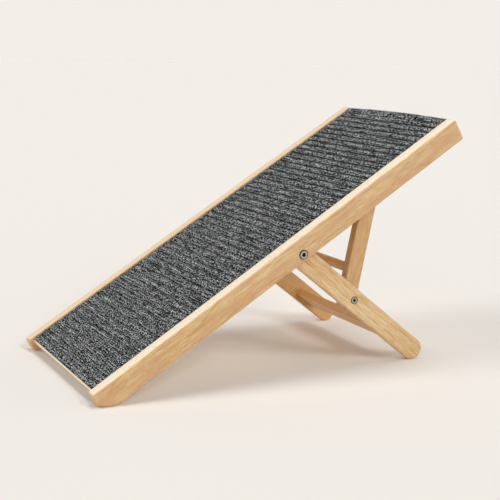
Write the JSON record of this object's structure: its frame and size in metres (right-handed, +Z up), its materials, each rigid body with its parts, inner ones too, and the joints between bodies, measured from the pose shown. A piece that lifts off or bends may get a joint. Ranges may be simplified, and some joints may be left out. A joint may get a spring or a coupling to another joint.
{
  "type": "folding pet ramp",
  "caption": "Folding wooden pet ramp with a ribbed carpet deck between side rails, a swinging leg frame and a prop that hooks into notched racks.",
  "frame": {"origin": "on the floor, under the middle of the ramp's bounding box", "axes": "+X along the floor from the low end to the high end, +Y across the ramp away from the near rail, +Z up"},
  "size_m": [0.7122, 0.3698, 0.4515],
  "materials": {
    "solid_wood": "satin lacquered pale hardwood",
    "dowel_wood": "plain turned dowel",
    "plywood": "sanded plywood",
    "ribbed_carpet": "ribbed needle-punched carpet",
    "plated_steel": "nickel plated",
    "washer_nylon": "moulded"
  },
  "bodies": {
    "ramp": {"side_rail_near": "solid_wood", "side_rail_far": "solid_wood", "deck_board": "plywood", "carpet": "ribbed_carpet", "batten_low": "solid_wood", "batten_lower_mid": "solid_wood", "batten_upper_mid": "solid_wood", "batten_high": "solid_wood", "batten_pins": "dowel_wood", "notch_rack_near": "solid_wood", "notch_rack_far": "solid_wood", "rack_screws": "plated_steel", "rail_pivot_bolt_near": "plated_steel", "rail_pivot_bolt_far": "plated_steel", "rail_pivot_nut_near": "plated_steel", "rail_pivot_nut_far": "plated_steel", "rail_pivot_washer_near": "washer_nylon", "rail_pivot_washer_far": "washer_nylon"},
    "leg_frame": {"leg_near": "solid_wood", "leg_far": "solid_wood", "leg_stretcher": "solid_wood", "stretcher_pins": "dowel_wood", "prop_pivot_bolt_near": "plated_steel", "prop_pivot_bolt_far": "plated_steel", "prop_pivot_nut_near": "plated_steel", "prop_pivot_nut_far": "plated_steel", "prop_pivot_washer_near": "washer_nylon", "prop_pivot_washer_far": "washer_nylon"},
    "prop_frame": {"prop_post_near": "solid_wood", "prop_post_far": "solid_wood", "prop_crossbar": "dowel_wood", "prop_top_dowel": "dowel_wood"}
  },
  "joints": [
    {"name": "leg_fold", "type": "hinge", "parent": "ramp", "child": "leg_frame", "pos_m": [0.02433, 0, 0.22346], "axis": [0, 1, 0], "range_deg": [0, 110]},
    {"name": "prop_fold", "type": "hinge", "parent": "leg_frame", "child": "prop_frame", "pos_m": [0.1491, 0, 0.12651], "axis": [0, -1, 0], "range_deg": [0, 63]}
  ],
  "couplings": [
    {"joint": "prop_fold", "follows": "leg_fold", "ratio": 0.5727}
  ]
}
